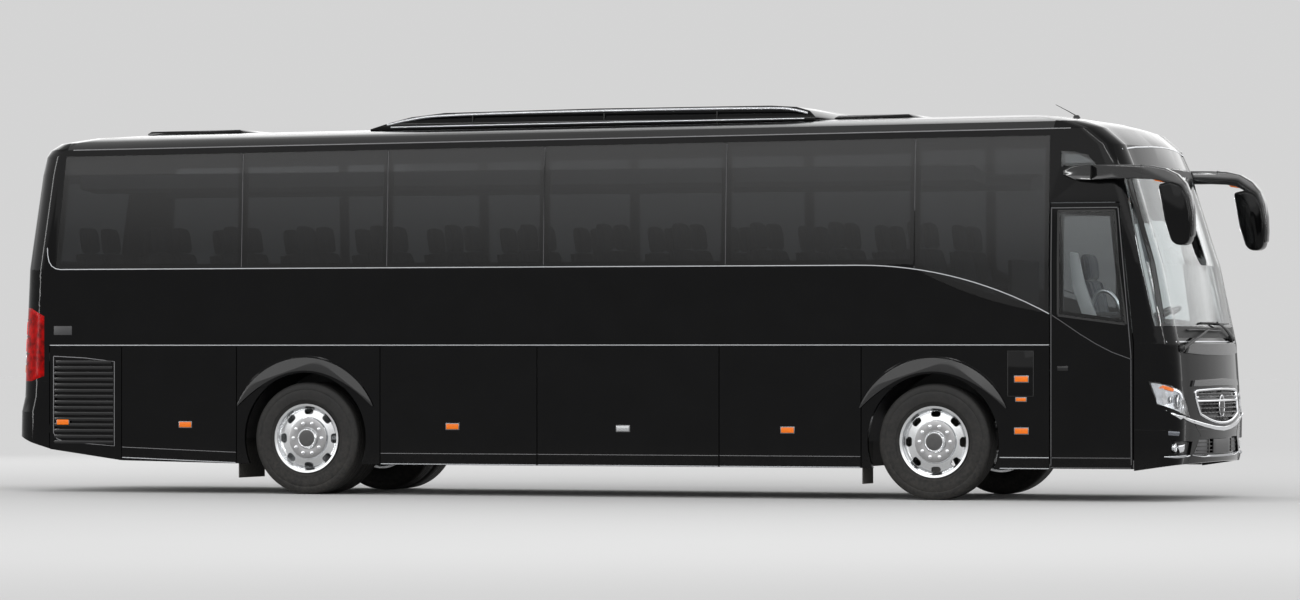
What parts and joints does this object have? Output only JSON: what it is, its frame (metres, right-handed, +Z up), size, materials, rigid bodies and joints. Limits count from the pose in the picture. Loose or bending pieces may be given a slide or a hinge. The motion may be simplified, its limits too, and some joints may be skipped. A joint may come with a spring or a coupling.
{
  "type": "two-axle touring coach",
  "caption": "Long single-deck touring coach with dark bonded windows, luggage flaps, one front entrance door, roof air conditioner, twin rear wheels and hanging mirrors.",
  "frame": {"origin": "on the ground under the middle of the body", "axes": "+X forward, +Y to the left, +Z up"},
  "size_m": [11.6779, 3.03, 3.578],
  "materials": {
    "body_paint": "high-gloss black paint",
    "tinted_glass": "dark tinted glass",
    "clear_glass": "clear glass",
    "lamp_clear": "clear lens over chrome",
    "lamp_red": "red lens",
    "grille_trim": "polished chrome frame",
    "tyre_rubber": "matt rubber",
    "flap_rubber": "matt rubber",
    "polished_alloy": "polished",
    "axle_steel": "painted casting",
    "frame_steel": "satin black chassis paint",
    "floor_cover": "grey vinyl floor covering",
    "seat_fabric": "dark grey woven cloth",
    "dash_plastic": "grained plastic",
    "wiper_black": "satin black"
  },
  "bodies": {
    "coach_body": {"air_conditioner": "body_paint", "dashboard": "dash_plastic", "driver_seat": "seat_fabric", "engine_block": "frame_steel", "entry_steps": "frame_steel", "floor": "floor_cover", "fog_lamps": "lamp_clear", "front_axle": "axle_steel", "front_bumper": "body_paint", "front_frame": "body_paint", "front_ledges": "body_paint", "front_mask": "body_paint", "grille": "grille_trim", "headlamps": "lamp_clear", "lower_panels_left": "body_paint", "lower_panels_right": "body_paint", "luggage_bay": "frame_steel", "mirrors": "body_paint", "mud_flaps": "flap_rubber", "passenger_seats": "seat_fabric", "rear_axle": "axle_steel", "rear_bumper": "body_paint", "rear_mask": "body_paint", "rear_window": "tinted_glass", "roof": "body_paint", "side_wall_left": "body_paint", "side_wall_right": "body_paint", "side_windows": "tinted_glass", "tail_lamps": "lamp_red", "underframe": "frame_steel", "wheel_housings": "frame_steel", "windscreen": "clear_glass", "wipers": "wiper_black"},
    "luggage_flap_1_right": {"luggage_flap_1_right": "body_paint"},
    "luggage_flap_2_right": {"luggage_flap_2_right": "body_paint"},
    "luggage_flap_3_right": {"luggage_flap_3_right": "body_paint"},
    "service_flap_right": {"service_flap_right": "body_paint"},
    "louvre_door_right": {"louvre_door_right": "body_paint"},
    "steering_knuckle_right": {"knuckle_right": "axle_steel"},
    "front_wheel_right": {"wheel_front_right": "polished_alloy", "tyre_front_right": "tyre_rubber"},
    "rear_wheel_right": {"wheel_rear_right": "polished_alloy", "tyre_rear_right": "tyre_rubber"},
    "luggage_flap_1_left": {"luggage_flap_1_left": "body_paint"},
    "luggage_flap_2_left": {"luggage_flap_2_left": "body_paint"},
    "luggage_flap_3_left": {"luggage_flap_3_left": "body_paint"},
    "service_flap_left": {"service_flap_left": "body_paint"},
    "louvre_door_left": {"louvre_door_left": "body_paint"},
    "steering_knuckle_left": {"knuckle_left": "axle_steel"},
    "front_wheel_left": {"wheel_front_left": "polished_alloy", "tyre_front_left": "tyre_rubber"},
    "rear_wheel_left": {"wheel_rear_left": "polished_alloy", "tyre_rear_left": "tyre_rubber"},
    "door_arm": {"door_arm": "frame_steel"},
    "door_leaf": {"door_leaf": "body_paint", "door_glass": "clear_glass"},
    "engine_lid": {"engine_lid": "body_paint"},
    "roof_hatch_front": {"roof_hatch_front": "body_paint"},
    "roof_hatch_rear": {"roof_hatch_rear": "body_paint"}
  },
  "joints": [
    {"name": "steer_right", "type": "hinge", "parent": "coach_body", "child": "steering_knuckle_right", "pos_m": [3.4, -0.99, 0.522], "axis": [0, 0, 1], "range_deg": [-38, 38]},
    {"name": "steer_left", "type": "hinge", "parent": "coach_body", "child": "steering_knuckle_left", "pos_m": [3.4, 0.99, 0.522], "axis": [0, 0, 1], "range_deg": [-38, 38]},
    {"name": "front_wheel_spin_right", "type": "hinge", "parent": "steering_knuckle_right", "child": "front_wheel_right", "pos_m": [3.4, -1.1, 0.522], "axis": [0, 1, 0], "continuous": true},
    {"name": "rear_wheel_spin_right", "type": "hinge", "parent": "coach_body", "child": "rear_wheel_right", "pos_m": [-2.69, -1, 0.522], "axis": [0, 1, 0], "continuous": true},
    {"name": "front_wheel_spin_left", "type": "hinge", "parent": "steering_knuckle_left", "child": "front_wheel_left", "pos_m": [3.4, 1.1, 0.522], "axis": [0, 1, 0], "continuous": true},
    {"name": "rear_wheel_spin_left", "type": "hinge", "parent": "coach_body", "child": "rear_wheel_left", "pos_m": [-2.69, 1, 0.522], "axis": [0, 1, 0], "continuous": true},
    {"name": "luggage_flap_1_right_lift", "type": "hinge", "parent": "coach_body", "child": "luggage_flap_1_right", "pos_m": [-1.159, -1.273, 1.379], "axis": [-1, 0, 0], "range_deg": [0, 90]},
    {"name": "luggage_flap_2_right_lift", "type": "hinge", "parent": "coach_body", "child": "luggage_flap_2_right", "pos_m": [0.4995, -1.273, 1.379], "axis": [-1, 0, 0], "range_deg": [0, 90]},
    {"name": "luggage_flap_3_right_lift", "type": "hinge", "parent": "coach_body", "child": "luggage_flap_3_right", "pos_m": [2.0545, -1.273, 1.379], "axis": [-1, 0, 0], "range_deg": [0, 90]},
    {"name": "service_flap_right_lift", "type": "hinge", "parent": "coach_body", "child": "service_flap_right", "pos_m": [-3.975, -1.273, 1.379], "axis": [-1, 0, 0], "range_deg": [0, 90]},
    {"name": "louvre_door_right_swing", "type": "hinge", "parent": "coach_body", "child": "louvre_door_right", "pos_m": [-5.312, -1.273, 0.85], "axis": [0, 0, -1], "range_deg": [0, 90]},
    {"name": "luggage_flap_1_left_lift", "type": "hinge", "parent": "coach_body", "child": "luggage_flap_1_left", "pos_m": [-1.159, 1.273, 1.379], "axis": [1, 0, 0], "range_deg": [0, 90]},
    {"name": "luggage_flap_2_left_lift", "type": "hinge", "parent": "coach_body", "child": "luggage_flap_2_left", "pos_m": [0.4995, 1.273, 1.379], "axis": [1, 0, 0], "range_deg": [0, 90]},
    {"name": "luggage_flap_3_left_lift", "type": "hinge", "parent": "coach_body", "child": "luggage_flap_3_left", "pos_m": [2.0545, 1.273, 1.379], "axis": [1, 0, 0], "range_deg": [0, 90]},
    {"name": "service_flap_left_lift", "type": "hinge", "parent": "coach_body", "child": "service_flap_left", "pos_m": [-3.975, 1.273, 1.379], "axis": [1, 0, 0], "range_deg": [0, 90]},
    {"name": "louvre_door_left_swing", "type": "hinge", "parent": "coach_body", "child": "louvre_door_left", "pos_m": [-5.312, 1.273, 0.85], "axis": [0, 0, 1], "range_deg": [0, 90]},
    {"name": "door_arm_swing", "type": "hinge", "parent": "coach_body", "child": "door_arm", "pos_m": [5.1, -1.15, 0.8], "axis": [0, 0, 1], "range_deg": [0, 120]},
    {"name": "door_leaf_follow", "type": "hinge", "parent": "door_arm", "child": "door_leaf", "pos_m": [4.65, -1.192, 1.13], "axis": [0, 0, 1], "range_deg": [-120, 0]},
    {"name": "engine_lid_lift", "type": "hinge", "parent": "coach_body", "child": "engine_lid", "pos_m": [-5.7535, 0, 1.987], "axis": [0, 1, 0], "range_deg": [0, 80]},
    {"name": "roof_hatch_front_lift", "type": "hinge", "parent": "coach_body", "child": "roof_hatch_front", "pos_m": [2.946, 0, 3.4657], "axis": [0, 1, 0], "range_deg": [0, 60]},
    {"name": "roof_hatch_rear_lift", "type": "hinge", "parent": "coach_body", "child": "roof_hatch_rear", "pos_m": [-3.702, 0, 3.4111], "axis": [0, 1, 0], "range_deg": [0, 60]}
  ],
  "couplings": [
    {"joint": "steer_left", "follows": "steer_right", "ratio": 1},
    {"joint": "door_leaf_follow", "follows": "door_arm_swing", "ratio": -1}
  ]
}
